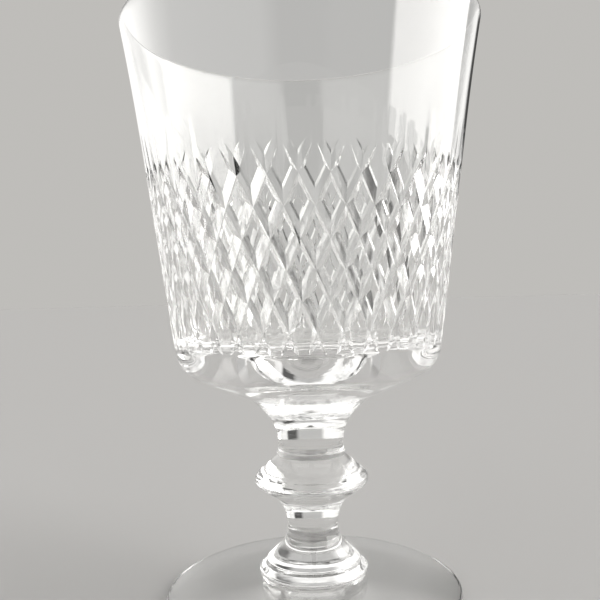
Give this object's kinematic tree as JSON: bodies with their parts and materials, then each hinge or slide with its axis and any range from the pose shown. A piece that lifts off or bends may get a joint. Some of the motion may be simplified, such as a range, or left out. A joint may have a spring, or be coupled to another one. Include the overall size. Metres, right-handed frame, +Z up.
{
  "type": "wine glass",
  "caption": "Clear cut-glass wine goblet: tapered round bowl with a band of crossing V grooves, short stem with a ring knop between flared joints, and a wide, shallow conical foot.",
  "frame": {"origin": "centre of the circle on which the foot stands, on the table plane", "axes": "+Z up along the glass's axis of turning; -Y is the side the picture shows; +X is right in the picture"},
  "size_m": [0.0818, 0.0818, 0.1303],
  "materials": {
    "bowl_glass": "polished, with polished cut grooves",
    "stem_glass": "fire polished"
  },
  "bodies": {
    "root": {"foot": "stem_glass", "base_merese": "stem_glass", "bell_stem": "stem_glass", "ring_knop": "stem_glass", "throat": "stem_glass", "bowl_merese": "stem_glass", "bowl": "bowl_glass"}
  },
  "joints": []
}
